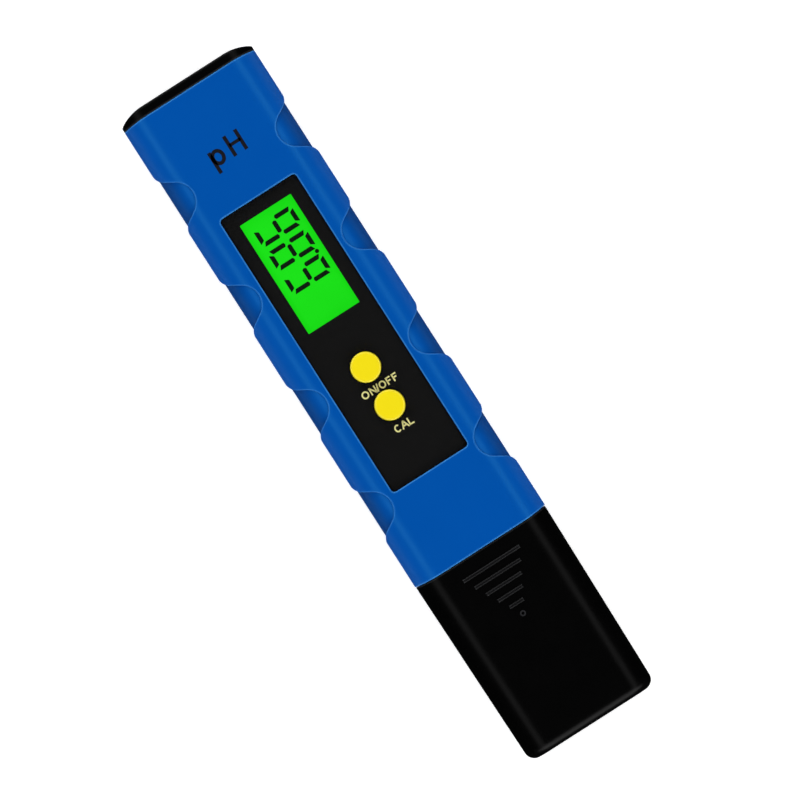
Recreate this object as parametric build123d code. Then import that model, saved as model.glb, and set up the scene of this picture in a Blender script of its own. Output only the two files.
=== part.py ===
from build123d import *
import os

# Pen-type pH tester lying on its back, in millimetres.
# X runs along the pen, from the storage cap (-X) to the battery cap (+X).
# Y runs across it, and Z from the flat back up to the display.
# The origin is the middle of the flat back.

# ---- driving dimensions -------------------------------------------------------------------
BODY_W = 30.4          # across the pen
BODY_T = 14.5          # back face to front face
CORNER_R = 5.6         # rounding along the pen's long edges
MID_Z = BODY_T / 2     # the two shells part here
END_X = 75.25          # half of the pen's length, with both caps on
RIM_TOP_X = 73.15      # the shells' rim under the battery cap
RIM_LOW_X = -34.28     # the shells' rim above the storage cap
RIM_FLAT_Y = 9.6       # half-width over which a rim runs straight across
RIM_SWEEP = 0.45       # how far the rims sweep back at the sides
CROWN_DROP = 1.65      # how far the battery cap's end falls away at the sides
FAR = 120.0            # larger than the pen, for cutting tools

WALL_SIDE = 1.8
WALL_FLAT = 1.6
INNER_W = BODY_W - 2 * WALL_SIDE
INNER_T = BODY_T - 2 * WALL_FLAT
INNER_R = 4.0
FIT = 0.1              # clearance round anything that slides into the shells

GRIP_X = (55.6, 31.5, 7.0, -16.9)
GRIP_SIDE_DEPTH = 0.57
GRIP_FLAT_DEPTH = 0.32
GRIP_FRONT = (6.4, 5.36)    # where a scallop's two flanks would meet, and half its length at the side
GRIP_BACK = (9.9, 5.92)     # on the back the scallops stop short of the flat that the pen lies on
GRIP_PEAK_R = 4.0
GRIP_FLARE_R = 3.0
GRIP_EDGE_R = 0.2
RIM_EDGE_R = 0.15

SEAM_GROOVE = 0.12
LIP_W = 0.6
LIP_H = 0.8

LENS_X = (-15.75, 47.9)
LENS_W = 17.6
LENS_R = 0.8
LENS_T = 0.75
MASK_T = 0.1
POCKET_DEPTH = 0.9
WINDOW_X = (19.6, 44.9)
WINDOW_W = 11.9
DISPLAY_X = sum(WINDOW_X) / 2

CELL_L = 29.4          # the liquid-crystal cell: length of its glasses, then each one's width
CELL_FRONT_W = 15.9
CELL_REAR_W = 12.2
FILM_L = 27.4
FRONT_FILM_W = 13.2
REAR_FILM_W = 11.9
BACKLIGHT_Z = (8.35, 11.1)
REAR_FILM_Z = (11.15, 11.3)
REAR_GLASS_Z = (11.3, 11.86)
FRONT_GLASS_Z = (11.86, 12.4)
FRONT_FILM_Z = (12.4, 12.55)
GASKET_Z = (12.56, 12.88)

BUTTON_X = (8.1, -0.75)    # power button, calibration button
BUTTON_R = 3.05
BUTTON_PROUD = 0.5
BUTTON_TRAVEL = 0.4
BUTTON_GAP = 0.12

BOARD_X = (-22.0, 53.9)
BOARD_W = 24.0
BOARD_Z = (7.0, 8.2)
BOARD_RIB_X = (35.0, 3.0)  # cross ribs in the rear shell that back the circuit board
SCREW_AT = ((12.2, 9.7), (12.2, -9.7), (-17.5, 9.7), (-17.5, -9.7))

CELL_R = 5.8
CELL_T = 5.4
CELL_X = 65.4
CELL_Y = 6.1

AXIS_Z = MID_Z         # the electrode's axis
NECK_X = (-45.0, -23.0)
SEAL_X = (-39.4, -38.2)
POTTING_X = (-42.9, -36.0)
TUBE_X = (-50.5, -31.0)
STEM_END_X = -33.5
WIRE_X = (-57.5, -31.0)
WIRE_R = 0.25
JUNCTION_X = (-50.75, -46.0)
JUNCTION_R = 0.6
JUNCTION_Z = MID_Z + 2.95
ELECTRODE_R = 4.0
STEM_R = 2.0
GLASS_T = 0.4
BULB_R = 3.2
BULB_X = -57.0
GUARD_R = 5.2
GUARD_BORE_R = 4.3
GUARD_GAP = 3.0        # half of the slot between the guard's two prongs
GUARD_END_X = -65.5
LEAD_R = 0.8
SENSOR_Y = 8.6
SENSOR_R = 1.2
SENSOR_END_X = -58.0

CAP_MOUTH = (BODY_W - 0.2, BODY_T - 0.2, CORNER_R - 0.1)
CAP_END = (29.1, 13.5, 5.2)
CAP_FILLET = 2.2
CAP_GAP = 0.1          # shadow line between the shells' rim and the cap's mouth
CAP_WALL = 1.7
CAP_STEP_X = -46.0     # the cap's inside narrows beyond the neck
CAP_BORE = (25.8, 10.9, 3.4)
CAP_FLOOR = 1.8
SPONGE_END_X = -68.4
RIB_X = (-37.95, -40.25, -42.55, -44.85, -47.15)
RIB_LENGTHS = (13.2, 10.7, 8.2, 5.8, 3.3)
RIB_W = 0.72
RIB_PROUD = 0.25
RIB_BEVEL = 0.16
THUMB_DOT_X = -49.5

PARTS = {}


# ---- shapes that repeat -------------------------------------------------------------------
def across(x, z=MID_Z):
    """Plane square to the pen at x, with Y to its right and the pen's +X out of it."""
    return Plane(origin=(x, 0, z), x_dir=(0, 1, 0), z_dir=(1, 0, 0))


def bar(x_low, x_high, width, depth, radius):
    """A length of rounded-rectangle section along the pen."""
    return extrude(across(x_low) * RectangleRounded(width, depth, radius), x_high - x_low)


def outer_bar(x_low, x_high, inset=0.0):
    return bar(x_low, x_high, BODY_W - 2 * inset, BODY_T - 2 * inset, CORNER_R - inset)


def inner_bar(x_low, x_high, inset=0.0):
    return bar(x_low, x_high, INNER_W - 2 * inset, INNER_T - 2 * inset, INNER_R - inset)


def block(x, y, z):
    """A box from its (low, high) pairs."""
    size = [high - low for low, high in (x, y, z)]
    centre = [(high + low) / 2 for low, high in (x, y, z)]
    return Pos(*centre) * Box(*size)


def plate(x, width, z, radius):
    """A flat plate, centred across the pen, with rounded corners."""
    middle = (x[0] + x[1]) / 2
    outline = Pos(middle, 0, z[0]) * RectangleRounded(x[1] - x[0], width, radius)
    return extrude(outline, z[1] - z[0])


def post(x, y, z_low, z_high, radius):
    """A round post that stands along Z."""
    return extrude(Pos(x, y, z_low) * Circle(radius), z_high - z_low)


def rod(x_low, x_high, radius, y=0.0, z=AXIS_Z):
    """A round rod along the pen."""
    return extrude(Plane(origin=(x_low, y, z), x_dir=(0, 1, 0), z_dir=(1, 0, 0)) * Circle(radius),
                   x_high - x_low)


def swept_end(x_middle, drop, far_x):
    """Everything from a gently swept end line to far_x, as a block through the pen."""
    side = BODY_W / 2 + 1.0
    reach = drop * ((side - RIM_FLAT_Y) / (BODY_W / 2 - RIM_FLAT_Y)) ** 2
    right = TangentArc((x_middle, RIM_FLAT_Y), (x_middle + reach, side), tangent=(0, 1))
    left = TangentArc((x_middle, -RIM_FLAT_Y), (x_middle + reach, -side), tangent=(0, -1))
    line = Line((x_middle, -RIM_FLAT_Y), (x_middle, RIM_FLAT_Y))
    close = Polyline((x_middle + reach, side), (far_x, side), (far_x, -side), (x_middle + reach, -side))
    return extrude(make_face(left + line + right + close), BODY_T + 4, dir=(0, 0, 1)).moved(Pos(0, 0, -2))


def keep(name, shape):
    PARTS[name] = shape


# ---- shells -------------------------------------------------------------------------------
def scallop(x, side, peak_y, half, z):
    """Bell-shaped outline of one finger scallop, as a block between two heights."""
    edge_y = BODY_W / 2 + 0.04
    far_y = edge_y + 4
    run = half + 3
    bell = FilletPolyline(
        (x - run, side * edge_y),
        (x - half, side * edge_y),
        (x, side * peak_y),
        (x + half, side * edge_y),
        (x + run, side * edge_y),
        radius=[GRIP_FLARE_R, GRIP_PEAK_R, GRIP_FLARE_R],
    )
    close = Polyline((x + run, side * edge_y), (x + run, side * far_y),
                     (x - run, side * far_y), (x - run, side * edge_y))
    return extrude(make_face(bell + close), z[1] - z[0], dir=(0, 0, 1)).moved(Pos(0, 0, z[0]))


def on_skin(edge):
    """True for an edge on the body's smooth outer skin that doesn't run straight along the pen."""
    middle = edge @ 0.5
    out_y = abs(middle.Y) - (BODY_W / 2 - CORNER_R)
    out_z = abs(middle.Z - MID_Z) - (BODY_T / 2 - CORNER_R)
    if out_y > 0 and out_z > 0:
        depth = CORNER_R - (out_y ** 2 + out_z ** 2) ** 0.5
    else:
        depth = CORNER_R - max(out_y, out_z)
    straight_along = abs(abs((edge % 0.5).X) - 1) < 1e-4 and edge.geom_type == GeomType.LINE
    return abs(depth) < 1e-3 and not straight_along


def shell_outside(z, grip):
    """One shell's outer form as a solid half-body, with its scallops and swept rims."""
    form = outer_bar(RIM_LOW_X - 2, RIM_TOP_X + 2)
    form -= swept_end(RIM_LOW_X, RIM_SWEEP, -FAR) + swept_end(RIM_TOP_X, -RIM_SWEEP, FAR)
    rims = [e for e in form.edges() if on_skin(e)]
    form = fillet(rims, RIM_EDGE_R)
    form = form & block((-FAR, FAR), (-FAR, FAR), z)
    core = bar(-FAR, FAR, BODY_W - 2 * GRIP_SIDE_DEPTH, BODY_T - 2 * GRIP_FLAT_DEPTH,
               CORNER_R - GRIP_FLAT_DEPTH)
    for x in GRIP_X:
        for side in (1, -1):
            form -= scallop(x, side, *grip, (-2, BODY_T + 2)) - core
            edges = [e for e in form.edges()
                     if abs((e @ 0.5).X - x) < grip[1] + 1 and (e @ 0.5).Y * side > 0 and on_skin(e)]
            form = fillet(edges, GRIP_EDGE_R)
    return form


def seam_groove():
    """A fine line scored round the shells where they meet."""
    band = block((-FAR, FAR), (-FAR, FAR), (MID_Z - SEAM_GROOVE, MID_Z + SEAM_GROOVE))
    core = bar(-FAR, FAR, BODY_W - 2 * GRIP_SIDE_DEPTH - 2 * SEAM_GROOVE, BODY_T, CORNER_R)
    return band - core


def seam_lip(slack):
    """The tongue on the rear shell that the front shell's groove takes."""
    y_low = INNER_W / 2
    y_high = y_low + LIP_W + slack
    x = (RIM_LOW_X + 2 - slack, RIM_TOP_X - 2 + slack)
    z = (MID_Z, MID_Z + LIP_H + slack)
    return block(x, (y_low, y_high), z) + block(x, (-y_high, -y_low), z)


def make_shells():
    hollow = inner_bar(-FAR, FAR) + seam_groove()
    front = shell_outside((MID_Z, FAR), GRIP_FRONT) - hollow - seam_lip(0.05)
    floor_z = BODY_T - POCKET_DEPTH
    front -= plate((LENS_X[0] - 0.05, LENS_X[1] + 0.05), LENS_W + 0.1, (floor_z, BODY_T + 1), LENS_R)
    pocket_rim = [e for e in front.edges() if abs((e @ 0.5).Z - BODY_T) < 1e-4 and
                  LENS_X[0] - 0.1 < (e @ 0.5).X < LENS_X[1] + 0.1 and abs((e @ 0.5).Y) < LENS_W / 2 + 0.1]
    front = fillet(pocket_rim, 0.12)
    front -= plate((WINDOW_X[0] - 0.8, WINDOW_X[1] + 0.8), WINDOW_W + 1.6, (MID_Z, BODY_T), 0.6)
    for x in BUTTON_X:
        front -= post(x, 0, MID_Z, BODY_T, BUTTON_R + BUTTON_GAP + 0.1)
    for x, y in SCREW_AT:
        boss = post(x, y, BOARD_Z[1], BODY_T - WALL_FLAT + 0.3, 2.0)
        front += boss
        front -= post(x, y, BOARD_Z[1] - 1, BODY_T - WALL_FLAT - 0.4, 0.85)
    keep("front_shell", front)

    rear = shell_outside((-FAR, MID_Z), GRIP_BACK) - hollow + seam_lip(0.0)
    for x in BOARD_RIB_X:
        rib = block((x - 0.5, x + 0.5), (-INNER_W / 2, INNER_W / 2), (WALL_FLAT - 0.3, BOARD_Z[0] - 0.05))
        rear += rib & outer_bar(-FAR, FAR, 0.5)
    keep("rear_shell", rear)


# ---- display ------------------------------------------------------------------------------
def make_display():
    floor_z = BODY_T - POCKET_DEPTH
    lens = plate(LENS_X, LENS_W, (floor_z + MASK_T, floor_z + MASK_T + LENS_T), LENS_R - 0.05)
    lens = chamfer(lens.faces().sort_by(Axis.Z)[-1].edges(), 0.12)
    mask = plate(LENS_X, LENS_W, (floor_z, floor_z + MASK_T), LENS_R - 0.05)
    mask -= plate(WINDOW_X, WINDOW_W, (0, BODY_T), 0.2)
    for x in BUTTON_X:
        hole = post(x, 0, 0, BODY_T, BUTTON_R + BUTTON_GAP)
        lens -= hole
        mask -= hole
    keep("display_lens", lens)
    keep("lens_mask", mask)

    def around(length, width, z, radius=0.3):
        return plate((DISPLAY_X - length / 2, DISPLAY_X + length / 2), width, z, radius)

    gasket = around(CELL_L, CELL_FRONT_W + 0.1, GASKET_Z)
    keep("display_gasket", gasket - around(FILM_L + 0.4, FRONT_FILM_W + 0.4, (0, BODY_T)))
    keep("lcd_front_polariser", around(FILM_L, FRONT_FILM_W, FRONT_FILM_Z))
    keep("lcd_front_glass", around(CELL_L, CELL_FRONT_W, FRONT_GLASS_Z))
    keep("lcd_rear_glass", around(CELL_L, CELL_REAR_W, REAR_GLASS_Z))
    keep("lcd_rear_polariser", around(FILM_L, REAR_FILM_W, REAR_FILM_Z))
    keep("backlight_panel", around(FILM_L - 1.0, REAR_FILM_W - 0.2, BACKLIGHT_Z, 0.4))

    frame = around(CELL_L + 3.2, CELL_FRONT_W + 3.1, (BOARD_Z[1], 12.3), 1.0)
    frame -= around(CELL_L + 0.3, CELL_FRONT_W + 0.3, (0, BODY_T))
    for side in (1, -1):
        frame += block((DISPLAY_X - 15.2, DISPLAY_X + 15.2),
                       tuple(sorted((side * 5.95, side * 6.2))), (BOARD_Z[1], BACKLIGHT_Z[1]))
    keep("display_frame", frame)

    for name, side in (("zebra_strip_left", 1), ("zebra_strip_right", -1)):
        y = tuple(sorted((side * 6.4, side * 7.8)))
        keep(name, block((DISPLAY_X - 13.5, DISPLAY_X + 13.5), y, (BOARD_Z[1], REAR_GLASS_Z[1])))

    x_led = DISPLAY_X - 14.0
    leds = [Pos(x_led, y, 9.25) * Box(1.0, 2.4, 2.1) for y in (3.0, -3.0)]
    keep("backlight_leds", Compound(children=leds))


# ---- buttons ------------------------------------------------------------------------------
def make_button(name, x):
    """Keycap with a retaining flange and a stem that presses a tact switch."""
    top = BODY_T + BUTTON_PROUD
    flange_top = BODY_T - WALL_FLAT - 0.05
    key = post(x, 0, flange_top - 0.8, top, BUTTON_R)
    key = fillet(key.faces().sort_by(Axis.Z)[-1].edges(), 0.35)
    key += post(x, 0, flange_top - 0.8, flange_top, BUTTON_R + 0.75)
    key += post(x, 0, 10.75, flange_top - 0.8, 1.5)
    keep(f"{name}_button", key)

    plunger = post(x, 0, 9.3, 10.75, 1.1)
    keep(f"{name}_switch_plunger", plunger)
    housing = Pos(x, 0, (BOARD_Z[1] + 9.8) / 2) * Box(4.5, 4.5, 9.8 - BOARD_Z[1])
    housing = chamfer(housing.edges().filter_by(Axis.Z), 0.4)
    housing -= post(x, 0, 8.7, 11, 1.2)
    legs = [Pos(x + dx, dy, BOARD_Z[1] + 0.1) * Box(0.7, 1.0, 0.2)
            for dx in (1.5, -1.5) for dy in (2.75, -2.75)]
    keep(f"{name}_switch_housing", housing)
    return legs


# ---- circuit board ------------------------------------------------------------------------
def make_board():
    board = plate(BOARD_X, BOARD_W, BOARD_Z, 1.0)
    for x, y in SCREW_AT:
        board -= post(x, y, BOARD_Z[0] - 1, BOARD_Z[1] + 1, 1.0)
    keep("circuit_board", board)

    low_z = BOARD_Z[0]
    chip = Pos(30, 0, low_z - 0.7) * Box(7, 7, 1.4)
    chip = chamfer(chip.faces().sort_by(Axis.Z)[0].edges(), 0.25)
    keep("microcontroller", chip)
    keep("input_amplifier", Pos(-12, 0, low_z - 0.75) * Box(5.0, 4.0, 1.5))
    keep("crystal", fillet((Pos(20, 0, low_z - 0.9) * Box(3.0, 7.6, 1.8)).edges().filter_by(Axis.Z), 1.4))

    small = []
    for column, x in enumerate((38, 40, 42, 12, 9, -4, -6.5, -8.5)):
        for row in (-6.2, -3.0, 3.0, 6.2):
            tall = 0.55 if (column + int(row)) % 2 else 0.8
            small.append(Pos(x, row, low_z - tall / 2) * Box(0.9, 1.7, tall))
    keep("board_components", Compound(children=small))

    screws = []
    for x, y in SCREW_AT:
        head = post(x, y, low_z - 1.2, low_z, 1.6)
        head = fillet(head.faces().sort_by(Axis.Z)[0].edges(), 0.4)
        head -= Pos(x, y, low_z - 1.2) * (Box(1.9, 0.45, 1.2) + Box(0.45, 1.9, 1.2))
        screws.append(head + post(x, y, low_z, 11.6, 0.8))
    keep("board_screws", Compound(children=screws))


# ---- battery drawer -----------------------------------------------------------------------
def make_battery_drawer():
    lid_low = RIM_TOP_X + 0.05
    lid = outer_bar(lid_low - 2, END_X + 2)
    lid -= swept_end(lid_low, -RIM_SWEEP, -FAR) + swept_end(END_X, -CROWN_DROP, FAR)
    for facing, radius in ((-1, 0.12), (1, 0.4)):
        ends = [f for f in lid.faces() if f.normal_at().X * facing > 0.5]
        lid = fillet([e for f in ends for e in f.edges() if on_skin(e)], radius)
    lid -= inner_bar(lid_low - 2, lid_low, FIT + 1.0)
    plug_low = RIM_TOP_X - 3.6
    plug = inner_bar(plug_low, lid_low, FIT) - inner_bar(plug_low, lid_low, FIT + 1.0)
    seal_x = (RIM_TOP_X - 2.6, RIM_TOP_X - 1.5)
    plug -= inner_bar(*seal_x, 0) - inner_bar(*seal_x, FIT + 0.5)
    keep("battery_cap", lid + plug)

    seal = inner_bar(*seal_x, 0.03) - inner_bar(*seal_x, FIT + 0.5)
    keep("battery_cap_seal", seal)

    z = (MID_Z - CELL_T / 2 + 0.05, MID_Z + CELL_T / 2 - 0.05)
    tray = block((CELL_X - 6.7, plug_low - 0.1), (-INNER_W / 2 + 0.2, INNER_W / 2 - 0.2), z)
    tray = fillet(tray.edges().filter_by(Axis.Z), 0.6)
    tongue_y = INNER_W / 2 - FIT - 1.2
    tray += block((plug_low - 1.5, lid_low), (-tongue_y, tongue_y), z)
    for side in (1, -1):
        tray -= post(CELL_X, side * CELL_Y, 0, BODY_T, CELL_R + 0.08)
    tray -= block((CELL_X + 1.4, CELL_X + 7.0), (-1.2, 1.2), (MID_Z + 1.5, BODY_T))
    keep("battery_tray", tray)

    for name, side, up in (("button_cell_left", 1, 1), ("button_cell_right", -1, -1)):
        can = post(CELL_X, side * CELL_Y, MID_Z - CELL_T / 2, MID_Z + CELL_T / 2, CELL_R)
        step = post(CELL_X, side * CELL_Y, MID_Z + up * (CELL_T / 2 - 0.3), MID_Z + up * CELL_T / 2, CELL_R)
        button = post(CELL_X, side * CELL_Y, MID_Z, MID_Z + up * CELL_T / 2, CELL_R - 0.9)
        can = fillet((can - step + button).edges().filter_by(GeomType.CIRCLE)
                     .filter_by(lambda e: e.radius > CELL_R - 0.1), 0.15)
        keep(name, can)


def make_battery_contacts():
    holder_x = (CELL_X - 10.2, CELL_X - 7.8)
    tip_x = CELL_X + 2.0
    foot_x = CELL_X - 12.6
    holder = inner_bar(*holder_x, FIT + 0.05)
    top_z = MID_Z + CELL_T / 2 + 0.05
    low_z = MID_Z - CELL_T / 2 - 0.05
    leaf = 0.25
    finger_y = ((4.1, 8.1), (-8.1, -4.1))

    slot_x = (holder_x[0] - 1, holder_x[1] + 1)
    link = block((holder_x[0] + 0.4, CELL_X - 5.5), (-8.1, 8.1), (top_z, top_z + leaf))
    holder -= block(slot_x, (-8.15, 8.15), (top_z - 0.03, top_z + leaf + 0.03))
    for y in finger_y:
        link += block((CELL_X - 6.0, tip_x), y, (top_z, top_z + leaf))
    keep("battery_link_spring", link)

    for name, y in zip(("battery_terminal_positive", "battery_terminal_negative"), finger_y):
        finger = block((foot_x, tip_x), y, (low_z - leaf, low_z))
        finger += block((foot_x, foot_x + leaf), y, (low_z - leaf, BOARD_Z[0]))
        slot_y = (y[0] - 0.05, y[1] + 0.05)
        holder -= block(slot_x, slot_y, (low_z - leaf - 0.03, low_z + 0.03))
        keep(name, finger)
    keep("battery_holder", holder)


# ---- probe --------------------------------------------------------------------------------
def make_probe():
    neck = inner_bar(*NECK_X, FIT) + inner_bar(RIM_LOW_X + 0.8, NECK_X[1], 0.02)
    neck -= bar(NECK_X[0] + 2.0, NECK_X[1] + 1, INNER_W - 3.4, INNER_T - 3.0, 2.6)
    neck -= inner_bar(*SEAL_X, 0) - inner_bar(*SEAL_X, FIT + 0.6)
    ring_x = NECK_X[0] - 1.6
    neck += rod(ring_x, NECK_X[0] + 0.5, GUARD_R)
    guard = rod(GUARD_END_X, NECK_X[0], GUARD_R) - rod(GUARD_END_X - 1, NECK_X[0] + 1, GUARD_BORE_R)
    guard -= block((GUARD_END_X - 1, ring_x), (-GUARD_GAP, GUARD_GAP), (-FAR, FAR))
    tips = [e for e in guard.edges() if abs(e.center().X - GUARD_END_X) < 0.01 and e.length > 2]
    neck += fillet(tips, 0.3)
    neck -= rod(-FAR, 0, ELECTRODE_R + 0.05)
    neck -= rod(-FAR, 0, SENSOR_R + 0.05, y=SENSOR_Y)
    keep("probe_neck", neck)
    keep("neck_seal", inner_bar(*SEAL_X, 0.03) - inner_bar(*SEAL_X, FIT + 0.6))

    potting = bar(*POTTING_X, INNER_W - 3.5, INNER_T - 3.1, 2.55)
    potting -= rod(-FAR, 0, ELECTRODE_R + 0.02)
    potting -= rod(-FAR, 0, SENSOR_R + 0.02, y=SENSOR_Y)
    keep("probe_potting", potting)

    tube = rod(*TUBE_X, ELECTRODE_R)
    tube = fillet(tube.faces().sort_by(Axis.X)[0].edges(), 0.5)
    tube -= rod(-FAR, 0, STEM_R + 0.03)
    tube -= rod(-FAR, JUNCTION_X[1], JUNCTION_R, z=JUNCTION_Z)
    keep("electrode_tube", tube)
    keep("reference_junction", rod(JUNCTION_X[0], JUNCTION_X[1] - 0.05, JUNCTION_R - 0.03, z=JUNCTION_Z))

    bulb = Pos(BULB_X, 0, AXIS_Z) * Sphere(BULB_R) + rod(BULB_X, STEM_END_X, STEM_R)
    bulb -= Pos(BULB_X, 0, AXIS_Z) * Sphere(BULB_R - GLASS_T) + rod(BULB_X, STEM_END_X + 0.5, STEM_R - GLASS_T)
    keep("glass_electrode", bulb)
    keep("silver_wire", fillet(rod(*WIRE_X, WIRE_R).edges(), 0.1))
    plug = rod(TUBE_X[1], TUBE_X[1] + 2.4, ELECTRODE_R - 0.6) + rod(STEM_END_X + 0.1, TUBE_X[1], STEM_R - 0.02)
    keep("electrode_plug", plug - rod(-FAR, 0, LEAD_R + 0.02))

    sensor = rod(SENSOR_END_X, -33.0, SENSOR_R, y=SENSOR_Y)
    sensor = fillet(sensor.faces().sort_by(Axis.X)[0].edges(), SENSOR_R - 0.05)
    sensor -= rod(SENSOR_END_X + 1.2, 0, SENSOR_R - 0.25, y=SENSOR_Y)
    keep("temperature_probe", sensor)
    bead = Pos(SENSOR_END_X + 2.2, SENSOR_Y, AXIS_Z) * Sphere(SENSOR_R - 0.26)
    keep("thermistor_bead", bead)


def cable(points, radius, bend):
    """A round cable along straight runs with tangent bends."""
    path = FilletPolyline(*points, radius=bend)
    start = Plane(origin=path @ 0, z_dir=path % 0)
    return sweep(start * Circle(radius), path=path)


def make_leads():
    board_top = BOARD_Z[1]
    lead_z = board_top + LEAD_R + 0.05
    keep("electrode_lead", cable(
        [(TUBE_X[1], 0, AXIS_Z), (-26.5, 0, AXIS_Z), (-22.5, 1.2, lead_z), (-16.5, 1.2, lead_z)], LEAD_R, 3.0))
    wires = []
    for offset in (-0.5, 0.5):
        z_end = board_top + 0.5
        wires.append(cable([(-54.8, SENSOR_Y + offset * 0.9, AXIS_Z), (-30.0, SENSOR_Y + offset * 0.9, AXIS_Z),
                            (-23.4, 7.6 + offset * 1.6, z_end + 0.3),
                            (-17.6, 5.6 + offset * 1.6, z_end + 0.3)], 0.35, 2.5))
    keep("sensor_lead", Compound(children=wires))


# ---- storage cap --------------------------------------------------------------------------
def make_storage_cap():
    mouth_x = RIM_LOW_X - CAP_GAP
    loft_from = RIM_LOW_X + 1.0
    outside = loft([across(loft_from) * RectangleRounded(*CAP_MOUTH),
                    across(-END_X) * RectangleRounded(*CAP_END)])
    outside = fillet(outside.faces().sort_by(Axis.X)[0].edges(), CAP_FILLET)
    slope = (CAP_MOUTH[1] - CAP_END[1]) / 2 / (loft_from + END_X)

    def face_z(x):
        return MID_Z + CAP_MOUTH[1] / 2 - slope * (loft_from - x)

    for x, length in zip(RIB_X, RIB_LENGTHS):
        rib = block((x - RIB_W / 2, x + RIB_W / 2), (-length / 2, length / 2), (12.5, face_z(x) + RIB_PROUD))
        rib = chamfer(rib.faces().sort_by(Axis.Z)[-1].edges(), RIB_BEVEL)
        outside += rib
    dot_top = face_z(THUMB_DOT_X)
    outside += post(THUMB_DOT_X, 0, 12.5, dot_top + RIB_PROUD, 0.6)
    outside -= post(THUMB_DOT_X, 0, dot_top - 0.1, dot_top + 1, 0.3)

    cap = outside & swept_end(mouth_x, RIM_SWEEP, -FAR)
    cap -= inner_bar(CAP_STEP_X, RIM_LOW_X + 3)
    cap -= bar(-END_X + CAP_FLOOR, CAP_STEP_X + 1, *CAP_BORE)
    lips = [e for e in cap.edges() if (e @ 0.5).X > mouth_x - 0.05 and e.length > 0.5]
    cap = fillet(lips, 0.15)
    keep("storage_cap", cap)
    width, depth, radius = CAP_BORE
    keep("cap_sponge", bar(-END_X + CAP_FLOOR, SPONGE_END_X, width - 0.2, depth - 0.2, radius - 0.1))


# ---- build --------------------------------------------------------------------------------
def main():
    make_shells()
    make_display()
    legs = make_button("power", BUTTON_X[0]) + make_button("cal", BUTTON_X[1])
    keep("switch_legs", Compound(children=legs))
    make_board()
    make_battery_drawer()
    make_battery_contacts()
    make_probe()
    make_leads()
    make_storage_cap()

    os.makedirs("parts", exist_ok=True)
    for name, shape in PARTS.items():
        export_step(shape, f"parts/{name}.step")
    print(len(PARTS), "nodes")


main()
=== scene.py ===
"""Looks of the pocket pH meter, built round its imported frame.

The pen lies on its back: +X is the battery-cap end, +Z is out of the display and +Y is the pen's left
hand as its display is read. The sections follow the order in which the pen is put together.
"""
import math

import bmesh
import bpy
from mathutils import Matrix, Vector, noise


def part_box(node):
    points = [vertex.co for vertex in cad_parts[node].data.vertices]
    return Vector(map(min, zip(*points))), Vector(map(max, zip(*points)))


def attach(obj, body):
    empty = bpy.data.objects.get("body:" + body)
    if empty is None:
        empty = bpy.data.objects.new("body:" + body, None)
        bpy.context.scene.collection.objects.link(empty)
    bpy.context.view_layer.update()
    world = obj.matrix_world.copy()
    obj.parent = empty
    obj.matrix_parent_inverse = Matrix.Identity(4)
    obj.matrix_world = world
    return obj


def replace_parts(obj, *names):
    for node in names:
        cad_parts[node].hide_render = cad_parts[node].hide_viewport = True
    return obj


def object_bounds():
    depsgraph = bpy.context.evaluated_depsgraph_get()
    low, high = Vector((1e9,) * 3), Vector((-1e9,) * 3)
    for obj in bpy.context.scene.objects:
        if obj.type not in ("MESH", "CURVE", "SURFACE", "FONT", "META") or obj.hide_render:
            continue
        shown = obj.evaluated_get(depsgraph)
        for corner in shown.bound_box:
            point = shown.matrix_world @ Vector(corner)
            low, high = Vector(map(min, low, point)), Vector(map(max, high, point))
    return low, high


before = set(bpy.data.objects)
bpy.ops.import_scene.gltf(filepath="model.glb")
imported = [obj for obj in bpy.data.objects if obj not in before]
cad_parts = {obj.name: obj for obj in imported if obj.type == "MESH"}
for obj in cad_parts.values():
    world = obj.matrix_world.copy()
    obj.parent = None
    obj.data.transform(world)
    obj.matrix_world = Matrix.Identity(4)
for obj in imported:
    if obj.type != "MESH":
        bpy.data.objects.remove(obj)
cad_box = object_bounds()
MM = 0.001


# ---- body shells --------------------------------------------------------------------------
# Two halves of blue ABS, moulded with finger scallops down both sides and snapped together along
# a tongue-and-groove seam. The mould was spark-eroded, so the skin has a fine satin grain.

def colour(red, green, blue):
    """Linear shader colour of an 8-bit display colour."""
    def linear(step):
        share = step / 255
        return share / 12.92 if share <= 0.04045 else ((share + 0.055) / 1.055) ** 2.4
    return linear(red), linear(green), linear(blue), 1.0


class Value:
    """A value in a material, on which ordinary arithmetic adds Math nodes."""

    def __init__(self, finish, socket):
        self.finish, self.socket = finish, socket

    def maths(self, operation, first, second=0.0):
        return self.finish.node("ShaderNodeMath", {"operation": operation}, {0: first, 1: second})

    def __add__(self, other):
        return self.maths("ADD", self, other)

    def __sub__(self, other):
        return self.maths("SUBTRACT", self, other)

    def __rsub__(self, other):
        return self.maths("SUBTRACT", other, self)

    def __mul__(self, other):
        return self.maths("MULTIPLY", self, other)

    def __pow__(self, other):
        return self.maths("POWER", self, other)

    def __abs__(self):
        return self.maths("ABSOLUTE", self)

    __radd__ = __add__
    __rmul__ = __mul__

    def above(self, floor):
        return self.maths("MAXIMUM", self, floor)

    def ramp(self, low, high):
        """0 where the value is low, rising smoothly to 1 where it is high."""
        return self.finish.node("ShaderNodeMapRange", {"interpolation_type": "SMOOTHSTEP"}, {
            "Value": self, "From Min": low, "From Max": high})


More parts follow.
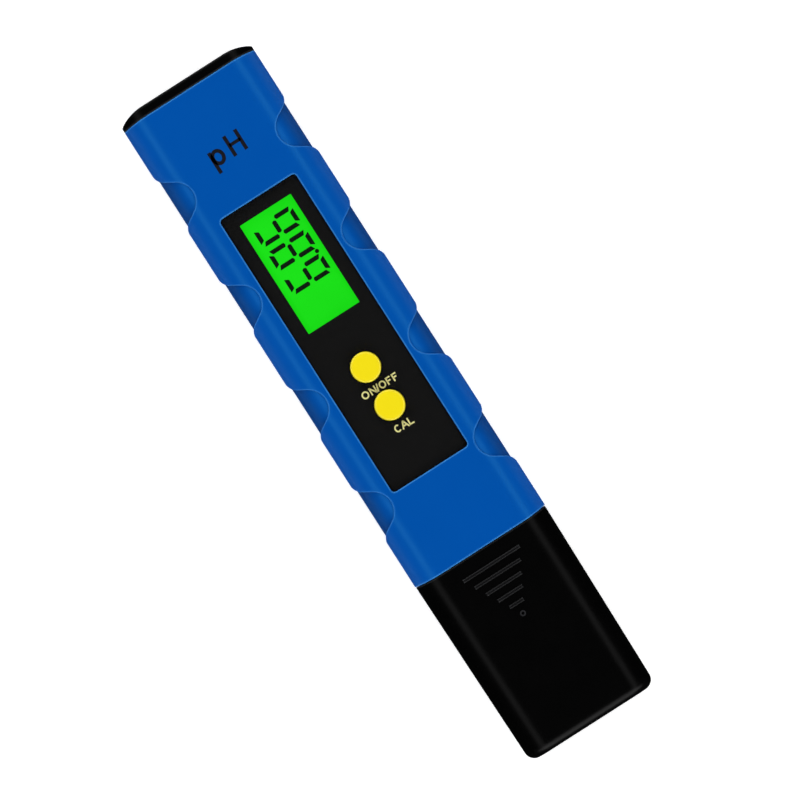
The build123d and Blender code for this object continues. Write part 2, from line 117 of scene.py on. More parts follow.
class Finish:
    """A material being made: its nodes, its main shader and the piece's own coordinates."""

    def __init__(self, name, **constants):
        self.material = bpy.data.materials.new(name)
        self.material.use_nodes = True
        self.tree = self.material.node_tree
        self.shader = self.tree.nodes["Principled BSDF"]
        for socket, value in constants.items():
            self.feed(socket.replace("_", " "), value)
        self.place = self.node("ShaderNodeTexCoord", output="Object")

    def node(self, kind, settings=None, sockets=None, output=0):
        made = self.tree.nodes.new(kind)
        for name, value in (settings or {}).items():
            setattr(made, name, value)
        for name, value in (sockets or {}).items():
            self.join(made.inputs[name], value)
        return Value(self, made.outputs[output])

    def join(self, socket, value):
        if isinstance(value, Value):
            self.tree.links.new(value.socket, socket)
        else:
            socket.default_value = value

    def feed(self, socket, value):
        self.join(self.shader.inputs[socket], value)

    def noise(self, size, detail=2.0, roughness=0.5, stretch=(1, 1, 1)):
        """Smooth noise whose blotches are about size metres across."""
        place = self.node("ShaderNodeMapping", sockets={"Vector": self.place, "Scale": stretch})
        return self.node("ShaderNodeTexNoise", sockets={
            "Vector": place, "Scale": 1 / size, "Detail": detail, "Roughness": roughness})

    def mix(self, factor, first, second):
        """A colour between two colours."""
        return self.node("ShaderNodeMix", {"data_type": "RGBA"}, {0: factor, 6: first, 7: second}, 2)

    def bump(self, height, depth):
        self.feed("Normal", self.node("ShaderNodeBump", sockets={"Height": height, "Distance": depth}))

    def outer_edges(self, reach):
        """0 on open faces, rising towards 1 at outside edges and over their roundings."""
        settings = {"inside": True, "only_local": True, "samples": 4}
        return 1 - self.node("ShaderNodeAmbientOcclusion", settings, {"Distance": reach}, "AO")

    def along(self, axis):
        return self.node("ShaderNodeSeparateXYZ", sockets={0: self.place}, output=axis)


def scaled(shade, share):
    """A shade made darker or lighter."""
    return tuple(channel * share for channel in shade[:3]) + (1.0,)


FLOW_MARK = 14 * MM           # size of flow marks, duller patches and breaks in the painted edge highlight
DULL_PATCH = 5 * MM
HIGHLIGHT_BREAK = 1.5 * MM
GRAIN_DEEP = 0.003 * MM
SCALLOP_SHADE_COVER = 0.52            # how much of a recess's floor the painted shade covers, and how dark it is
SCALLOP_SHADE_DARKNESS = 0.25


def moulded(name, shade, gloss, grain=0.25 * MM, mottle=0.03, edge_highlight_colour=None, edge_highlight_reach=0.35 * MM, recess=None,
            **constants):
    """Injection-moulded plastic: faint flow marks, uneven gloss, a fine grain and painted light where
    asked.

    Where an edge colour is given, a painted highlight lightens outside edges towards it, as far in as
    the given reach, broken up unevenly. recess is 1 where the surface is sunk and gets a painted shade.
    """
    finish = Finish(name, **constants)
    flow = finish.noise(FLOW_MARK, detail=3.0, stretch=(0.4, 1, 1))
    shown = finish.mix(flow, scaled(shade, 1 - mottle), scaled(shade, 1 + mottle))
    # painted shade: the floor of a sunk recess is darkened towards a deep shade of the colour
    if recess:
        shown = finish.mix(recess(finish) * SCALLOP_SHADE_COVER, shown, scaled(shade, SCALLOP_SHADE_DARKNESS))
    # painted highlight: outside edges and their roundings are lightened towards the edge colour,
    # unevenly
    if edge_highlight_colour:
        edge_highlight_mask = finish.outer_edges(edge_highlight_reach).ramp(0.06, 0.35) * (0.7 + 0.6 * finish.noise(HIGHLIGHT_BREAK))
        shown = finish.mix(edge_highlight_mask, shown, edge_highlight_colour)
    finish.feed("Base Color", shown)
    finish.feed("Roughness", gloss + (finish.noise(DULL_PATCH, detail=4.0) - 0.5) * 0.08)
    finish.bump(finish.noise(grain, detail=1.0), GRAIN_DEEP)
    return finish.material


def dress(material, *nodes):
    """Gives CAD nodes a material in place of their plain one."""
    for node in nodes:
        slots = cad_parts[node].data.materials
        slots.clear()
        slots.append(material)


BODY_CORNER_R = 5.6 * MM
SCALLOP_DEEP = (0.15 * MM, 0.4 * MM)    # how far below the plain body's skin the painted shade starts, and is full
SCALLOP_OUT = (1.2 * MM, 4.6 * MM)      # the same, out round the body's corner from its flat face
shell_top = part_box("front_shell")[1]
body_middle_z = (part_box("rear_shell")[0].z + shell_top.z) / 2


def finger_scallops(finish):
    """1 on the floors of the scallops near the pen's sides, where the skin is below the plain body's; it
    masks their painted shade.
    """
    flat_y = shell_top.y - BODY_CORNER_R
    flat_z = shell_top.z - body_middle_z - BODY_CORNER_R
    out_y = (abs(finish.along(1)) - flat_y).above(0)
    out_z = (abs(finish.along(2) - body_middle_z) - flat_z).above(0)
    sunk = BODY_CORNER_R - (out_y ** 2 + out_z ** 2) ** 0.5
    return sunk.ramp(*SCALLOP_DEEP) * out_y.ramp(*SCALLOP_OUT)


BLUE = colour(0, 80, 170)
# the lighter blue is a painted highlight along the shells' outside edges
BLUE_EDGE_HIGHLIGHT = colour(64, 142, 216)
# the scallop floors near the sides get a painted shade
shell_plastic = moulded("satin_blue_abs", BLUE, 0.31, edge_highlight_colour=BLUE_EDGE_HIGHLIGHT, recess=finger_scallops,
                        Specular_IOR_Level=0.5, Specular_Tint=(0.12, 0.8, 1.0, 1))
dress(shell_plastic, "front_shell", "rear_shell")


# ---- circuit board ------------------------------------------------------------------------
# Glass-epoxy board with green solder mask over copper, screwed up to the front shell's bosses. The
# chips, the watch crystal and the small ceramic parts sit on its back.

board_mask = Finish("solder_mask", Coat_Weight=0.3, Coat_Roughness=0.15)
tracks = board_mask.node("ShaderNodeTexBrick", {"offset": 0.37}, {
    "Vector": board_mask.place, "Scale": 260.0, "Mortar Size": 0.012, "Mortar Smooth": 0.2,
    "Color1": colour(10, 74, 42), "Color2": colour(14, 86, 48), "Mortar": colour(30, 122, 66)})
board_mask.feed("Base Color", tracks)
board_mask.feed("Roughness", 0.32 + board_mask.noise(3 * MM) * 0.1)
dress(board_mask.material, "circuit_board")

dress(moulded("chip_epoxy", colour(26, 26, 28), 0.55, grain=0.12 * MM),
      "microcontroller", "input_amplifier")


BRUSH_DEEP = 0.002 * MM


def metal(name, shade, gloss, brushed=(1, 1, 1)):
    """Bare or plated metal with fine marks, drawn out along the axis that brushed names."""
    finish = Finish(name, Metallic=1.0)
    marks = finish.noise(0.4 * MM, detail=4.0, stretch=brushed)
    finish.feed("Base Color", finish.mix(marks, scaled(shade, 0.86), scaled(shade, 1.06)))
    finish.feed("Roughness", gloss + (marks - 0.5) * 0.2)
    finish.bump(marks, BRUSH_DEEP)
    return finish.material


dress(metal("nickel_can", colour(214, 212, 206), 0.22), "crystal")
dress(metal("zinc_plate", colour(196, 198, 202), 0.32), "board_screws")
dress(metal("tinned_leg", colour(214, 214, 212), 0.28), "switch_legs")

ceramic = Finish("ceramic_chip")
end_caps = ceramic.node("ShaderNodeTexWave", {"bands_direction": "Y"}, {
    "Vector": ceramic.place, "Scale": 95.0})
ceramic.feed("Base Color", ceramic.mix(end_caps, colour(150, 118, 82), colour(206, 204, 198)))
ceramic.feed("Roughness", 0.35 + end_caps * 0.15)
dress(ceramic.material, "board_components")


# ---- display ------------------------------------------------------------------------------
# Twisted-nematic cell between two polarisers, in a black plastic frame with a striped rubber
# contact along each long side. Two green LEDs light an edge-lit panel behind it.

dress(moulded("frame_plastic", colour(22, 22, 24), 0.5), "display_frame", "power_switch_housing",
      "cal_switch_housing", "power_switch_plunger", "cal_switch_plunger")


def foam(name, shade, cell):
    """Closed-cell foam or rubber: dull, with small open pits."""
    finish = Finish(name, Specular_IOR_Level=0.25)
    pits = finish.node("ShaderNodeTexVoronoi", sockets={"Vector": finish.place, "Scale": 1 / cell})
    finish.feed("Base Color", finish.mix(pits, scaled(shade, 0.6), scaled(shade, 1.15)))
    finish.feed("Roughness", 0.95 - pits * 0.15)
    finish.bump(pits, cell * 0.2)
    return finish.material


dress(foam("gasket_foam", colour(30, 30, 32), 0.3 * MM), "display_gasket")

stripes = Finish("striped_contact")
layers = stripes.node("ShaderNodeTexWave", {"bands_direction": "X"}, {
    "Vector": stripes.place, "Scale": 900.0})
stripes.feed("Base Color", stripes.mix(layers, colour(34, 32, 32), colour(196, 150, 150)))
stripes.feed("Roughness", 0.6 + layers * 0.2)
dress(stripes.material, "zebra_strip_left", "zebra_strip_right")


def clear_sheet(name, shade, gloss):
    """Thin clear stock: what is behind shows through it, under a light gloss."""
    finish = Finish(name, Base_Color=(0.0, 0.0, 0.0, 1), Specular_IOR_Level=0.5)
    finish.feed("Roughness", gloss + finish.noise(8 * MM) * 0.03)
    outside = 1 - finish.node("ShaderNodeNewGeometry", output="Backfacing")
    shine = outside * finish.node("ShaderNodeFresnel", sockets={"IOR": 1.45})
    through = finish.node("ShaderNodeBsdfTransparent", sockets={"Color": shade})
    both = finish.node("ShaderNodeMixShader", sockets={
        0: shine, 1: through, 2: Value(finish, finish.shader.outputs[0])})
    finish.join(finish.tree.nodes["Material Output"].inputs["Surface"], both)
    return finish.material


dress(clear_sheet("cell_glass", (0.94, 0.98, 0.95, 1), 0.03), "lcd_front_glass", "lcd_rear_glass")

LIT_GREEN = colour(19, 219, 16)


def lit(name, strength):
    """Film or panel with the green backlight glowing through it, a little unevenly."""
    finish = Finish(name, Specular_IOR_Level=0.2, Emission_Strength=strength,
                    Base_Color=scaled(LIT_GREEN, 0.2))
    cloud = finish.noise(9 * MM, detail=1.0)
    finish.feed("Emission Color", finish.mix(cloud, scaled(LIT_GREEN, 0.93), scaled(LIT_GREEN, 1.05)))
    finish.feed("Roughness", 0.4 + cloud * 0.1)
    return finish.material


dress(lit("lit_front_film", 1.0), "lcd_front_polariser")
dress(lit("lit_rear_film", 1.0), "lcd_rear_polariser")
dress(lit("light_guide", 1.2), "backlight_panel")

led = Finish("led_epoxy", Coat_Weight=0.5, Emission_Strength=0.8)
die = led.noise(0.9 * MM)
led.feed("Base Color", led.mix(die, colour(226, 232, 196), colour(244, 246, 226)))
led.feed("Emission Color", led.mix(die, colour(60, 220, 60), colour(140, 250, 120)))
led.feed("Roughness", 0.2 + die * 0.1)
dress(led.material, "backlight_leds")


# ---- display digits -----------------------------------------------------------------------
# Seven-segment numerals that the liquid crystal darkens in front of the backlight. They read along
# the pen, with their feet on its right-hand side. The reading is 6.86, a common buffer's.

DIGIT_H = 9.1 * MM
DIGIT_W = 4.4 * MM
DIGIT_PITCH = 5.55 * MM
SEGMENT = 0.92 * MM
SEGMENT_R = 0.13 * MM
SEGMENT_DEEP = 0.02 * MM
LIT_SEGMENTS = {"6": "acdefg", "8": "abcdefg"}
# How far a segment's end stands back from where the segments' middle lines meet: on its left, at
# its middle and on its right, seen along the segment towards that end.
RAIL_END = (0.28 * MM, 0.53 * MM, 0.78 * MM)
POST_END = (0.04 * MM, 0.28 * MM, 0.52 * MM)
POST_WAIST = (0.70 * MM, 0.47 * MM, 0.70 * MM)
BAR_END = (0.60 * MM, 0.37 * MM, 0.60 * MM)

film_low, film_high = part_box("lcd_front_polariser")


def raise_faces(mesh, faces, height):
    """Gives flat faces a thickness."""
    raised = bmesh.ops.extrude_face_region(mesh, geom=faces)["geom"]
    lifted = [item for item in raised if isinstance(item, bmesh.types.BMVert)]
    bmesh.ops.translate(mesh, verts=lifted, vec=(0, 0, height))


def add_segment(mesh, start, start_back, end, end_back):
    """One segment between two meeting points, with its ends cut back and its corners rounded."""
    along = (end - start).normalized()
    left = Vector((-along.y, along.x, 0)) * SEGMENT / 2
    outline = [end - along * back + left * share for back, share in zip(end_back, (1, 0, -1))]
    outline += [start + along * back - left * share for back, share in zip(start_back, (1, 0, -1))]
    face = mesh.faces.new([mesh.verts.new(point) for point in outline])
    rounded = bmesh.ops.bevel(mesh, geom=list(face.verts), offset=SEGMENT_R, segments=3, profile=0.5,
                              affect="VERTICES", material=-1)
    raise_faces(mesh, [rounded["verts"][0].link_faces[0]], SEGMENT_DEEP)


def add_digit(mesh, figure, corner):
    """A numeral whose lower left corner is at corner; X is its reading direction and Y is up."""
    half = SEGMENT / 2
    left, right = corner.x + half, corner.x + DIGIT_W - half
    low, middle, high = corner.y + half, corner.y + DIGIT_H / 2, corner.y + DIGIT_H - half
    inner_first, outer_first = tuple(reversed(POST_END)), POST_END
    rail_inner, rail_outer = tuple(reversed(RAIL_END)), RAIL_END
    ends = {
        "a": ((left, high), rail_inner, (right, high), rail_outer),
        "d": ((right, low), rail_inner, (left, low), rail_outer),
        "g": ((left, middle), BAR_END, (right, middle), BAR_END),
        "f": ((left, middle), POST_WAIST, (left, high), outer_first),
        "e": ((left, low), inner_first, (left, middle), POST_WAIST),
        "b": ((right, high), inner_first, (right, middle), POST_WAIST),
        "c": ((right, middle), POST_WAIST, (right, low), outer_first),
    }
    for letter in LIT_SEGMENTS[figure]:
        first, first_back, second, second_back = ends[letter]
        add_segment(mesh, Vector((*first, corner.z)), first_back,
                    Vector((*second, corner.z)), second_back)


def finished(name, mesh, material, body):
    """Turns a bmesh into a piece with outward faces, which rides on a body."""
    bmesh.ops.recalc_face_normals(mesh, faces=mesh.faces)
    data = bpy.data.meshes.new(name)
    mesh.to_mesh(data)
    mesh.free()
    data.materials.append(material)
    piece = bpy.data.objects.new(name, data)
    bpy.context.scene.collection.objects.link(piece)
    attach(piece, body)
    return piece


FIRST_DIGIT_IN = 9.05 * MM    # from the film's lower end to the first digit
DIGIT_FOOT_Y = -4.76 * MM
POINT_R = 0.43 * MM
POINT_UP = 0.5 * MM
digits = bmesh.new()
first_digit = Vector((film_low.x + FIRST_DIGIT_IN, DIGIT_FOOT_Y, film_high.z))
for index, figure in enumerate("686"):
    add_digit(digits, figure, first_digit + Vector((DIGIT_PITCH * index, 0, 0)))
point = bmesh.ops.create_circle(digits, cap_ends=True, segments=24, radius=POINT_R)["verts"]
bmesh.ops.translate(digits, verts=point, vec=first_digit + Vector((
    (DIGIT_W + DIGIT_PITCH) / 2, POINT_UP, 0)))
raise_faces(digits, [point[0].link_faces[0]], SEGMENT_DEEP)

dark_crystal = Finish("dark_crystal", Specular_IOR_Level=0.1)
bleed = dark_crystal.noise(1.5 * MM)
dark_crystal.feed("Base Color", dark_crystal.mix(bleed, colour(6, 22, 8), colour(10, 30, 12)))
dark_crystal.feed("Roughness", 0.5 + bleed * 0.1)
finished("display_digits", digits, dark_crystal.material, "instrument")


# ---- window -------------------------------------------------------------------------------
# Clear acrylic sheet let into the front shell. Its back is screen-printed black round the display
# window, thin enough to leave a hair's gap, and the key names are printed on it in pale yellow.

dress(clear_sheet("clear_acrylic", (0.97, 0.97, 0.97, 1), 0.06), "display_lens")

PRINT_DEEP = 0.8              # the print's thickness, as a share of the gap that it lies in
mask_low, mask_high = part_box("lens_mask")
mask_print = bmesh.new()
mask_print.from_mesh(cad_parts["lens_mask"].data)
bmesh.ops.scale(mask_print, verts=mask_print.verts, vec=(1, 1, PRINT_DEEP),
                space=Matrix.Translation((0, 0, -mask_low.z)))
black_print = moulded("black_print", colour(15, 15, 15), 0.6, grain=0.15 * MM, mottle=0.08,
                      Specular_IOR_Level=0.1)
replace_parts(finished("mask_print", mask_print, black_print, "instrument"), "lens_mask")

INK_DEEP = 0.015 * MM
LABEL_H = 1.6 * MM
LABEL_INK = 0.31 * MM
C_MOUTH_FROM = 0.78           # shares of a C's width and height: where its mouth starts from its left,
C_MOUTH_HALF = 0.27           # and how far the mouth reaches above and below its middle


def stroke(mesh, start, end, width):
    """A straight stroke of ink."""
    start, end = Vector((*start, 0)), Vector((*end, 0))
    reach = end - start
    made = bmesh.ops.create_cube(mesh, size=1.0)["verts"]
    bmesh.ops.scale(mesh, verts=made, vec=(reach.length, width, INK_DEEP))
    bmesh.ops.rotate(mesh, verts=made, matrix=Matrix.Rotation(math.atan2(reach.y, reach.x), 3, "Z"))
    bmesh.ops.translate(mesh, verts=made, vec=(start + end) / 2)


def ring(mesh, left, right, low, high, width, open_right=False):
    """An oval stroke of ink inside the given sides, open on the right for a C."""
    middle_y = (low + high) / 2
    loops = []
    for inset in (0, 2 * width):
        oval = bmesh.ops.create_circle(mesh, segments=48, radius=0.5)["verts"]
        bmesh.ops.scale(mesh, verts=oval, vec=(right - left - inset, high - low - inset, 1))
        bmesh.ops.translate(mesh, verts=oval, vec=((left + right) / 2, middle_y, -INK_DEEP / 2))
        loops += {edge for vert in oval for edge in vert.link_edges}
    band = bmesh.ops.bridge_loops(mesh, edges=loops)["faces"]
    if open_right:
        mouth_x = left + (right - left) * C_MOUTH_FROM
        mouth_y = (high - low) * C_MOUTH_HALF
        mouth = [face for face in band if face.calc_center_median().x > mouth_x
                 and abs(face.calc_center_median().y - middle_y) < mouth_y]
        bmesh.ops.delete(mesh, geom=mouth, context="FACES")
        band = [face for face in band if face.is_valid]
    raise_faces(mesh, band, INK_DEEP)


def printed(name, mesh, foot, z, material):
    """Print that reads across the pen, its letters' feet at x = foot and their tops towards +X."""
    across = Matrix(((0, 1, 0, foot), (-1, 0, 0, 0), (0, 0, 1, z), (0, 0, 0, 1)))
    bmesh.ops.transform(mesh, verts=mesh.verts, matrix=across)
    return finished(name, mesh, material, "instrument")


def ink(name, shade):
    """Screen ink: dull, a little uneven where the mesh left it thin."""
    finish = Finish(name, Specular_IOR_Level=0.2)
    thin = finish.noise(0.5 * MM, detail=3.0)
    finish.feed("Base Color", finish.mix(thin, scaled(shade, 0.92), scaled(shade, 1.05)))
    finish.feed("Roughness", 0.6 + thin * 0.2)
    return finish.material


power_low, power_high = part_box("power_button")
cal_low, cal_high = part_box("cal_button")
power_x = (power_low.x + power_high.x) / 2
cal_x = (cal_low.x + cal_high.x) / 2
LABEL_UNDER = 0.01 * MM       # the labels lie in the gap between the black print and the sheet
label_z = mask_high.z - LABEL_UNDER
yellow_ink = ink("pale_yellow_ink", colour(255, 250, 170))

# ON/OFF: each O's sides, the N's stems, the slash's ends and each F's stem, read across the pen.
OVALS = ((-3.80 * MM, -2.25 * MM), (0.20 * MM, 1.68 * MM))
N_LEFT, N_RIGHT = -1.80 * MM, -0.70 * MM
N_SLANT_IN, N_SLANT_DOWN = 0.02 * MM, 0.08 * MM
SLASH = (-0.45 * MM, 0.0)
F_STEMS = (2.08 * MM, 3.45 * MM)
F_TOP_BAR, F_MIDDLE_BAR = 0.9 * MM, 0.75 * MM
POWER_LABEL_DROP = 1.03 * MM  # the label's foot, below the point halfway between the keys
top = LABEL_H - LABEL_INK / 2
foot = LABEL_INK / 2
label = bmesh.new()
for left, right in OVALS:
    ring(label, left, right, 0, LABEL_H, LABEL_INK)
for stem in (N_LEFT, N_RIGHT, *F_STEMS):
    stroke(label, (stem, 0), (stem, LABEL_H), LABEL_INK)
stroke(label, (N_LEFT + N_SLANT_IN, LABEL_H - N_SLANT_DOWN), (N_RIGHT - N_SLANT_IN, N_SLANT_DOWN),
       LABEL_INK)
stroke(label, (SLASH[0], 0), (SLASH[1], LABEL_H), LABEL_INK)
for stem in F_STEMS:
    stroke(label, (stem, top), (stem + F_TOP_BAR, top), LABEL_INK)
    stroke(label, (stem, LABEL_H / 2), (stem + F_MIDDLE_BAR, LABEL_H / 2), LABEL_INK)
power_foot_x = (power_x + cal_x) / 2 - POWER_LABEL_DROP
printed("power_label", label, power_foot_x, label_z, yellow_ink)

# CAL: the C's sides, the A's feet and peak, and the L's stem and toe.
C_LEFT, C_RIGHT = -1.85 * MM, -0.48 * MM
A_LEFT, A_PEAK, A_RIGHT = -0.30 * MM, 0.38 * MM, 1.06 * MM
A_BAR_UP, A_BAR_HALF = LABEL_H * 0.36, 0.38 * MM
L_STEM, L_TOE = 1.40 * MM, 2.32 * MM
CAL_LABEL_DROP = 5.55 * MM    # the label's foot, below the key's middle
label = bmesh.new()
ring(label, C_LEFT, C_RIGHT, 0, LABEL_H, LABEL_INK, open_right=True)
stroke(label, (A_LEFT, 0), (A_PEAK, LABEL_H), LABEL_INK)
stroke(label, (A_RIGHT, 0), (A_PEAK, LABEL_H), LABEL_INK)
stroke(label, (A_PEAK - A_BAR_HALF, A_BAR_UP), (A_PEAK + A_BAR_HALF, A_BAR_UP), LABEL_INK)
stroke(label, (L_STEM, 0), (L_STEM, LABEL_H), LABEL_INK)
stroke(label, (L_STEM, foot), (L_TOE, foot), LABEL_INK)
printed("cal_label", label, cal_x - CAL_LABEL_DROP, label_z, yellow_ink)

# pH, in black on the shell above the window: the p's stem and bowl, and the H's stems.
PH_H = 4.55 * MM
PH_X_HEIGHT = 3.36 * MM
PH_INK = 0.76 * MM
PH_FOOT_X = 56.97 * MM
P_STEM, P_TAIL = -3.35 * MM, -1.33 * MM
BOWL_LEFT, BOWL_RIGHT = -3.62 * MM, -0.72 * MM
H_STEMS = (0.90 * MM, 3.46 * MM)
H_BAR_UP = PH_H * 0.525
H_BAR_INK = PH_INK * 0.9
label = bmesh.new()
stroke(label, (P_STEM, P_TAIL), (P_STEM, PH_X_HEIGHT), PH_INK)
ring(label, BOWL_LEFT, BOWL_RIGHT, 0, PH_X_HEIGHT, PH_INK)
for stem in H_STEMS:
    stroke(label, (stem, 0), (stem, PH_H), PH_INK)
stroke(label, (H_STEMS[0], H_BAR_UP), (H_STEMS[1], H_BAR_UP), H_BAR_INK)
printed("ph_label", label, PH_FOOT_X, shell_top.z, ink("black_ink", colour(2, 2, 12)))


# ---- buttons ------------------------------------------------------------------------------
# Yellow silicone keys that stand just proud of the window. Each has a flange under the shell and a
# stem that presses a tact switch on the board.

# the keys' outside edges get a paler yellow painted highlight
dress(moulded("yellow_silicone", colour(246, 225, 6), 0.5, grain=0.3 * MM, mottle=0.02,
              edge_highlight_colour=colour(252, 240, 120), edge_highlight_reach=0.3 * MM, Specular_IOR_Level=0.2),
      "power_button", "cal_button")


# ---- battery contacts ---------------------------------------------------------------------
# Nickel-plated phosphor-bronze leaves in a black bulkhead: one bridges the two cells above, and two
# carry the supply from below them to the board.

contact = metal("contact_bronze", colour(222, 208, 172), 0.28, brushed=(0.2, 1, 1))
dress(contact, "battery_link_spring", "battery_terminal_positive", "battery_terminal_negative")
dress(moulded("holder_plastic", colour(20, 20, 22), 0.5), "battery_holder")


# ---- battery drawer -----------------------------------------------------------------------
# Black end cap with a crowned end, a rubber seal round its plug and a tray that carries two
# 11.6 mm button cells out of the body.

CAP_BLACK = colour(2, 2, 2)
# the grey is a painted highlight along the black caps' outside edges
BLACK_EDGE_HIGHLIGHT = colour(42, 42, 44)
dress(moulded("black_end_cap", CAP_BLACK, 0.31, edge_highlight_colour=BLACK_EDGE_HIGHLIGHT, Specular_IOR_Level=0.09),
      "battery_cap")
dress(moulded("tray_plastic", colour(24, 24, 26), 0.45), "battery_tray")


def rubber(name, shade):
    """Soft black stock with a faint uneven bloom."""
    finish = Finish(name, Specular_IOR_Level=0.3)
    bloom = finish.noise(1.2 * MM, detail=4.0)
    finish.feed("Base Color", finish.mix(bloom, scaled(shade, 0.8), scaled(shade, 1.3)))
    finish.feed("Roughness", 0.55 + bloom * 0.2)
    return finish.material


dress(rubber("seal_rubber", colour(28, 28, 30)), "battery_cap_seal", "neck_seal", "electrode_plug")
dress(metal("cell_can", colour(220, 218, 212), 0.2, brushed=(1, 0.2, 1)),
      "button_cell_left", "button_cell_right")


# ---- probe --------------------------------------------------------------------------------
# Combined electrode: a thin glass bulb on a stem inside a clear body, with a ceramic junction beside
# it, and a steel-sheathed thermistor. The grey neck carries both and guards the bulb with two prongs.

dress(moulded("neck_plastic", colour(52, 54, 58), 0.5), "probe_neck")
dress(moulded("potting", colour(12, 12, 12), 0.25), "probe_potting")
clear_body = Finish("smoked_body", Transmission_Weight=0.7, IOR=1.55)
haze = clear_body.noise(4 * MM)
clear_body.feed("Base Color", clear_body.mix(haze, colour(196, 206, 214), colour(226, 232, 236)))
clear_body.feed("Roughness", 0.08 + haze * 0.1)
dress(clear_body.material, "electrode_tube")

bulb_glass = Finish("bulb_glass", Transmission_Weight=1.0, IOR=1.5)
swirl = bulb_glass.noise(2 * MM, detail=3.0)
bulb_glass.feed("Base Color", bulb_glass.mix(swirl, colour(214, 236, 242), colour(236, 246, 250)))
bulb_glass.feed("Roughness", 0.01 + swirl * 0.02)
dress(bulb_glass.material, "glass_electrode")

dress(metal("chlorided_silver", colour(188, 180, 176), 0.45), "silver_wire")
dress(metal("sheath_steel", colour(196, 198, 200), 0.24, brushed=(1, 0.15, 0.15)), "temperature_probe")
dress(rubber("thermistor_epoxy", colour(34, 30, 28)), "thermistor_bead")
dress(rubber("lead_pvc", colour(40, 40, 44)), "electrode_lead", "sensor_lead")

junction = Finish("porous_ceramic", Specular_IOR_Level=0.2)
pores = junction.noise(0.15 * MM, detail=4.0)
junction.feed("Base Color", junction.mix(pores, colour(206, 200, 188), colour(244, 242, 236)))
junction.feed("Roughness", 0.8 + pores * 0.15)
junction.bump(pores, 0.02 * MM)
dress(junction.material, "reference_junction")


# ---- storage cap --------------------------------------------------------------------------
# Black polypropylene cap that keeps the bulb wet. It grips the neck's seal and has five short ribs
# and a moulded dot for the thumb, and a soaked sponge sits in its end.

# its outside edges get the same grey painted highlight
dress(moulded("black_cap", CAP_BLACK, 0.31, edge_highlight_colour=BLACK_EDGE_HIGHLIGHT, Specular_IOR_Level=0.09), "storage_cap")

SPONGE_SHARE = 0.97           # of the chamber's length, width and depth
SPONGE_CORNER_R = 3.0 * MM
SPONGE_EDGE_R = 0.5 * MM
SPONGE_FACET = 0.5 * MM
PORE = 0.9 * MM
CELLS_PER_METRE = 1900.0
CELL_DEEP = 0.12 * MM


def rise_along_pen(edge):
    """How far apart an edge's ends are along the pen."""
    return abs(edge.verts[0].co.x - edge.verts[1].co.x)


sponge_low, sponge_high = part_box("cap_sponge")
sponge = bmesh.new()
bmesh.ops.create_cube(sponge, size=1.0)
bmesh.ops.scale(sponge, verts=sponge.verts, vec=(sponge_high - sponge_low) * SPONGE_SHARE)
corners = [edge for edge in sponge.edges if rise_along_pen(edge) > MM]
bmesh.ops.bevel(sponge, geom=corners, offset=SPONGE_CORNER_R, segments=5, profile=0.5, affect="EDGES",
                material=-1)
rims = [edge for edge in sponge.edges if rise_along_pen(edge) < 1e-6 and edge.calc_face_angle(0) > 1.0]
bmesh.ops.bevel(sponge, geom=rims, offset=SPONGE_EDGE_R, segments=2, profile=0.5, affect="EDGES",
                material=-1)
bmesh.ops.triangulate(sponge, faces=sponge.faces)
for _ in range(6):
    long_edges = [edge for edge in sponge.edges if edge.calc_length() > SPONGE_FACET]
    if not long_edges:
        break
    bmesh.ops.subdivide_edges(sponge, edges=long_edges, cuts=1)
    bmesh.ops.triangulate(sponge, faces=sponge.faces)
sponge.normal_update()
for vert in sponge.verts:
    depth = max(0.0, noise.noise(vert.co / PORE) - 0.1)
    vert.co -= vert.normal * depth * PORE
bmesh.ops.translate(sponge, verts=sponge.verts, vec=(sponge_low + sponge_high) / 2)

cellulose = Finish("cellulose_sponge", Subsurface_Weight=0.1, Specular_IOR_Level=0.2)
cells = cellulose.node("ShaderNodeTexVoronoi", sockets={
    "Vector": cellulose.place, "Scale": CELLS_PER_METRE})
cellulose.feed("Base Color", cellulose.mix(cells, colour(156, 138, 70), colour(232, 216, 150)))
cellulose.feed("Roughness", 0.9 - cells * 0.1)
cellulose.bump(cells, CELL_DEEP)
pad = finished("wetting_sponge", sponge, cellulose.material, "storage_cap")
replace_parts(pad, "cap_sponge")


# ---- bench, light and camera --------------------------------------------------------------
# The pen lies on a white bench that glows a little, like a light table. The studio is dark overhead
# and at its sides, with a wide lamp past each end of the pen and a long soft lamp over each edge.

BENCH_HALF = 8.0
BENCH_DROP = 0.02 * MM
low, high = cad_box
middle = (low + high) / 2
bench_mesh = bmesh.new()
bmesh.ops.create_grid(bench_mesh, x_segments=2, y_segments=2, size=BENCH_HALF)
bmesh.ops.translate(bench_mesh, verts=bench_mesh.verts, vec=(0, 0, low.z - BENCH_DROP))
bench_data = bpy.data.meshes.new("bench")
bench_mesh.to_mesh(bench_data)
bench_mesh.free()
bench = bpy.data.objects.new("bench", bench_data)
bpy.context.scene.collection.objects.link(bench)
bench.visible_glossy = False
bench_paint = Finish("bench_paint", Specular_IOR_Level=0.0, Emission_Strength=0.55, Roughness=0.9)
fleck = bench_paint.noise(30 * MM)
bench_paint.feed("Base Color", bench_paint.mix(fleck, (0.88, 0.88, 0.88, 1), (0.90, 0.90, 0.90, 1)))
bench_paint.feed("Emission Color", bench_paint.mix(fleck, (0.98, 0.98, 0.98, 1), (1, 1, 1, 1)))
bench_data.materials.append(bench_paint.material)


class Studio(Finish):
    """The world's light, drawn with the same nodes as a finish."""

    def __init__(self, world):
        world.use_nodes = True
        self.tree = world.node_tree
        self.shader = self.tree.nodes["Background"]
        self.place = self.node("ShaderNodeTexCoord", output="Generated")


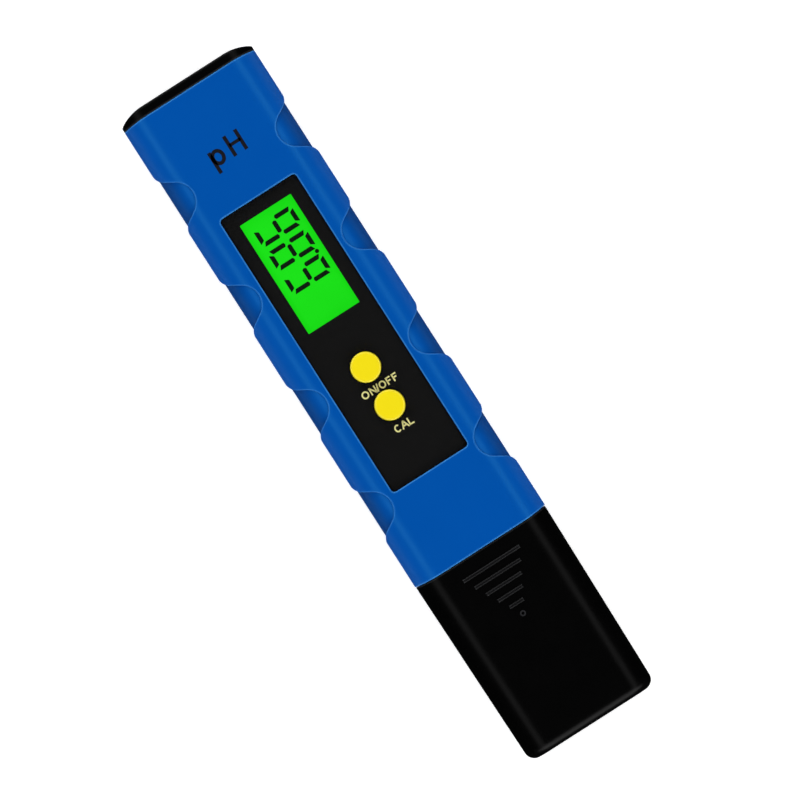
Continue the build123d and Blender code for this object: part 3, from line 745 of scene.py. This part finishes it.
END_LAMPS = 3.0               # brightness of the lamps and of the dark studio
EDGE_LAMPS = 1.4
DARK = 0.01
EDGE_LAMP_FROM = (math.radians(18), math.radians(30))   # leaning out from overhead, with soft borders
EDGE_LAMP_TO = (math.radians(40), math.radians(50))
sky = bpy.data.worlds.new("studio")
bpy.context.scene.world = sky
studio = Studio(sky)
to_end, to_side, upward = abs(studio.along(0)), abs(studio.along(1)), studio.along(2)
tilt = studio.node("ShaderNodeMath", {"operation": "ARCTAN2"}, {0: to_side, 1: upward})
edge_lamps = tilt.ramp(*EDGE_LAMP_FROM) * (1 - tilt.ramp(*EDGE_LAMP_TO))
end_lamps = to_end.ramp(0.6, 0.8) * upward.ramp(0.0, 0.1)
glow = DARK + end_lamps * END_LAMPS + edge_lamps * EDGE_LAMPS
seen = studio.node("ShaderNodeLightPath", output="Is Camera Ray")
studio.feed("Color", (1, 1, 1, 1))
studio.feed("Strength", seen + (1 - seen) * glow)

CAMERA_AWAY = 3.0
VIEW_WIDTH = 158.1 * MM       # what the view takes in across, at the pen's middle height
PEN_TURN = math.radians(32.6)           # the pen leans this far to the left of upright
PEN_RIGHT, PEN_UP = -2.411 * MM, -0.346 * MM   # of the pen's middle from the view's
SENSOR = 36.0                 # the camera's, in its own millimetres
right = Vector((-math.sin(PEN_TURN), -math.cos(PEN_TURN), 0))
up = Vector((math.cos(PEN_TURN), -math.sin(PEN_TURN), 0))
lens = bpy.data.cameras.new("camera")
lens.sensor_width = SENSOR
lens.lens = SENSOR * CAMERA_AWAY / VIEW_WIDTH
lens.clip_start, lens.clip_end = 0.01, 20
camera = bpy.data.objects.new("camera", lens)
bpy.context.scene.collection.objects.link(camera)
aim = middle - right * PEN_RIGHT - up * PEN_UP
toward = Vector((0, 0, 1))
turn = Matrix((right, up, toward)).transposed().to_4x4()
camera.matrix_world = Matrix.Translation(aim + toward * CAMERA_AWAY) @ turn
bpy.context.scene.camera = camera
bpy.context.scene.view_settings.view_transform = "Standard"
